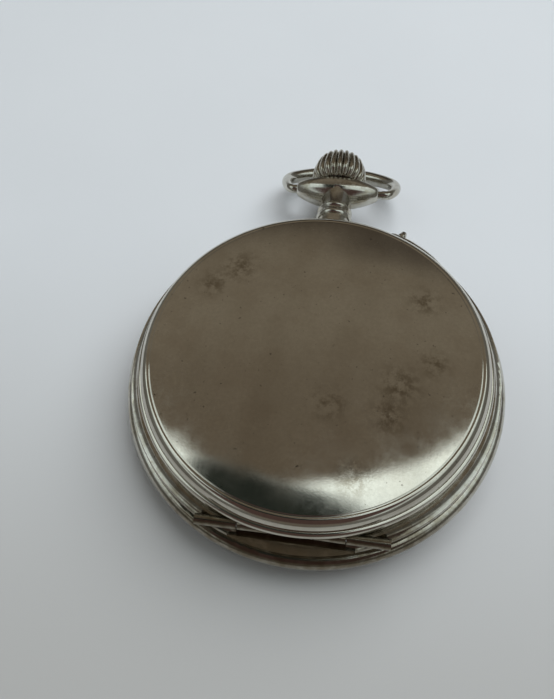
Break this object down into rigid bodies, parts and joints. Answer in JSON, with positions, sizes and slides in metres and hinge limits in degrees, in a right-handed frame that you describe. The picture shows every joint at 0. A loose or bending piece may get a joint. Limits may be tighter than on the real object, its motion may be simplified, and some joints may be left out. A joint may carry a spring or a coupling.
{
  "type": "pocket watch",
  "caption": "Open-face keyless pocket watch with a hinged domed back, inner dust cover, swivelling bow, fluted winding crown, pin-set pusher and a complete jewelled lever movement.",
  "frame": {"origin": "centre of the case on the plane of the bezel's front rim, which the watch rests on", "axes": "+Z out of the back, +Y towards the crown at 12 o'clock, +X to the right seen from the back"},
  "size_m": [0.051, 0.0675, 0.0138],
  "materials": {
    "case_silver": "polished, tarnished and worn",
    "dust_cover_silver": "polished",
    "crystal_glass": "polished",
    "steel": "polished",
    "spring_steel": "polished",
    "crown_nickel": "polished and worn",
    "blued_steel": "heat blued",
    "dial_enamel": "glossy white enamel",
    "wheel_brass": "gilt",
    "gilt_plate": "frosted gilt",
    "bridge_nickel": "nickelled and damaskeened",
    "ruby": "polished"
  },
  "bodies": {
    "case": {"case_band": "case_silver", "front_bezel": "case_silver", "crystal": "crystal_glass", "hinge_pin": "steel", "pendant": "case_silver", "pendant_pin": "steel", "pusher_guard": "case_silver", "case_screws": "blued_steel", "dial": "dial_enamel", "dial_screws": "blued_steel", "yoke_spring": "steel", "main_plate": "gilt_plate", "barrel_bridge": "bridge_nickel", "train_bridge": "bridge_nickel", "balance_cock": "bridge_nickel", "pallet_bridge": "bridge_nickel", "bridge_screws": "blued_steel", "jewels": "ruby", "crown_wheel_core": "steel", "click_screw": "blued_steel", "click_spring": "steel", "hairspring": "spring_steel", "hairspring_stud": "steel", "endstone": "ruby"},
    "dust_cover": {"dust_cover": "dust_cover_silver"},
    "back_cover": {"back_cover": "case_silver"},
    "bow": {"bow": "case_silver"},
    "crown": {"crown": "crown_nickel", "winding_stem": "steel", "winding_pinion": "steel"},
    "sliding_pinion": {"sliding_pinion": "steel"},
    "crown_wheel": {"crown_wheel": "steel"},
    "ratchet_wheel": {"ratchet_wheel": "steel", "ratchet_screw": "blued_steel", "barrel_arbor": "steel"},
    "click": {"click": "steel"},
    "set_pusher": {"set_pusher": "case_silver"},
    "setting_yoke": {"setting_yoke": "steel"},
    "minute_hand": {"minute_hand": "blued_steel", "cannon_pinion": "steel"},
    "minute_wheel": {"minute_wheel": "wheel_brass"},
    "hour_hand": {"hour_hand": "blued_steel", "hour_wheel": "wheel_brass"},
    "setting_wheel": {"setting_wheel": "steel"},
    "seconds_hand": {"seconds_hand": "blued_steel", "fourth_wheel": "wheel_brass"},
    "third_wheel": {"third_wheel": "wheel_brass"},
    "center_wheel": {"center_wheel": "wheel_brass", "center_pinion": "steel"},
    "escape_wheel": {"escape_wheel": "steel"},
    "barrel": {"mainspring_barrel": "wheel_brass", "barrel_cover": "wheel_brass", "mainspring": "spring_steel"},
    "balance": {"balance_wheel": "wheel_brass", "timing_screws": "wheel_brass", "balance_staff": "steel"},
    "pallet_fork": {"pallet_fork": "steel", "pallet_stones": "ruby"},
    "regulator": {"regulator": "steel"}
  },
  "joints": [
    {"name": "dust_cover_hinge", "type": "hinge", "parent": "case", "child": "dust_cover", "pos_m": [0, -0.0221, 0.009], "axis": [1, 0, 0], "range_deg": [0, 50]},
    {"name": "back_cover_hinge", "type": "hinge", "parent": "dust_cover", "child": "back_cover", "pos_m": [0, -0.0221, 0.009], "axis": [1, 0, 0], "range_deg": [0, 70]},
    {"name": "bow_swivel", "type": "hinge", "parent": "case", "child": "bow", "pos_m": [0, 0.0323, 0.0063], "axis": [1, 0, 0], "range_deg": [-105, 175]},
    {"name": "crown_turn", "type": "hinge", "parent": "case", "child": "crown", "pos_m": [0, 0.034, 0.0063], "axis": [0, 1, 0], "continuous": true},
    {"name": "crown_wheel_turn", "type": "hinge", "parent": "case", "child": "crown_wheel", "pos_m": [0, 0.0142, 0.0088], "axis": [0, 0, 1], "continuous": true},
    {"name": "ratchet_wheel_turn", "type": "hinge", "parent": "case", "child": "ratchet_wheel", "pos_m": [0.00478, 0.00709, 0.0088], "axis": [0, 0, 1], "continuous": true},
    {"name": "click_lift", "type": "hinge", "parent": "case", "child": "click", "pos_m": [0.01339, 0.00236, 0.0087], "axis": [0, 0, 1], "range_deg": [0, 8], "stiffness_Nm_per_rad": 0.00001},
    {"name": "set_pusher_press", "type": "slide", "parent": "case", "child": "set_pusher", "axis": [-0.4067, -0.9135, 0], "range_m": [0, 0.001], "stiffness_N_per_m": 300},
    {"name": "setting_yoke_turn", "type": "hinge", "parent": "case", "child": "setting_yoke", "pos_m": [-0.007, 0.0163, 0.0049], "axis": [0, 0, -1], "range_deg": [0, 4.5]},
    {"name": "sliding_pinion_shift", "type": "slide", "parent": "crown", "child": "sliding_pinion", "axis": [0, -1, 0], "range_m": [0, 0.00056]},
    {"name": "minute_hand_turn", "type": "hinge", "parent": "case", "child": "minute_hand", "pos_m": [0, 0, 0.0018], "axis": [0, 0, 1], "continuous": true},
    {"name": "minute_wheel_turn", "type": "hinge", "parent": "case", "child": "minute_wheel", "pos_m": [0.0006, 0.00294, 0.0045], "axis": [0, 0, 1], "continuous": true},
    {"name": "hour_hand_turn", "type": "hinge", "parent": "case", "child": "hour_hand", "pos_m": [0, 0, 0.0023], "axis": [0, 0, 1], "continuous": true},
    {"name": "setting_wheel_turn", "type": "hinge", "parent": "case", "child": "setting_wheel", "pos_m": [0.0006, 0.00981, 0.0045], "axis": [0, 0, 1], "continuous": true},
    {"name": "seconds_hand_turn", "type": "hinge", "parent": "case", "child": "seconds_hand", "pos_m": [0, -0.0092, 0.0073], "axis": [0, 0, 1], "continuous": true},
    {"name": "third_wheel_turn", "type": "hinge", "parent": "case", "child": "third_wheel", "pos_m": [0.00351, -0.0055, 0.0068], "axis": [0, 0, 1], "continuous": true},
    {"name": "center_wheel_turn", "type": "hinge", "parent": "case", "child": "center_wheel", "pos_m": [0, 0, 0.0054], "axis": [0, 0, 1], "continuous": true},
    {"name": "escape_wheel_turn", "type": "hinge", "parent": "case", "child": "escape_wheel", "pos_m": [-0.00488, -0.00666, 0.0065], "axis": [0, 0, 1], "continuous": true},
    {"name": "barrel_turn", "type": "hinge", "parent": "case", "child": "barrel", "pos_m": [0.00478, 0.00709, 0.0066], "axis": [0, 0, 1], "continuous": true},
    {"name": "balance_swing", "type": "hinge", "parent": "case", "child": "balance", "pos_m": [-0.0113, -0.001, 0.0074], "axis": [0, 0, 1], "range_deg": [-220, 220], "stiffness_Nm_per_rad": 0.000005},
    {"name": "pallet_fork_rock", "type": "hinge", "parent": "case", "child": "pallet_fork", "pos_m": [-0.008, -0.00391, 0.0065], "axis": [0, 0, 1], "range_deg": [-5.5, 5.5]},
    {"name": "regulator_move", "type": "hinge", "parent": "case", "child": "regulator", "pos_m": [-0.0113, -0.001, 0.0095], "axis": [0, 0, 1], "range_deg": [-15, 15]}
  ],
  "couplings": [
    {"joint": "crown_wheel_turn", "follows": "crown_turn", "ratio": -0.55172},
    {"joint": "ratchet_wheel_turn", "follows": "crown_turn", "ratio": 0.4},
    {"joint": "setting_yoke_turn", "follows": "set_pusher_press", "rad_per_m": 76.3},
    {"joint": "sliding_pinion_shift", "follows": "set_pusher_press", "ratio": 0.534},
    {"joint": "minute_wheel_turn", "follows": "minute_hand_turn", "ratio": -0.33333},
    {"joint": "hour_hand_turn", "follows": "minute_hand_turn", "ratio": 0.083333},
    {"joint": "setting_wheel_turn", "follows": "minute_hand_turn", "ratio": 0.16216},
    {"joint": "third_wheel_turn", "follows": "seconds_hand_turn", "ratio": -0.13333},
    {"joint": "center_wheel_turn", "follows": "seconds_hand_turn", "ratio": 0.016667},
    {"joint": "escape_wheel_turn", "follows": "seconds_hand_turn", "ratio": -10},
    {"joint": "barrel_turn", "follows": "seconds_hand_turn", "ratio": -0.0020833},
    {"joint": "pallet_fork_rock", "follows": "balance_swing", "ratio": -0.023}
  ]
}
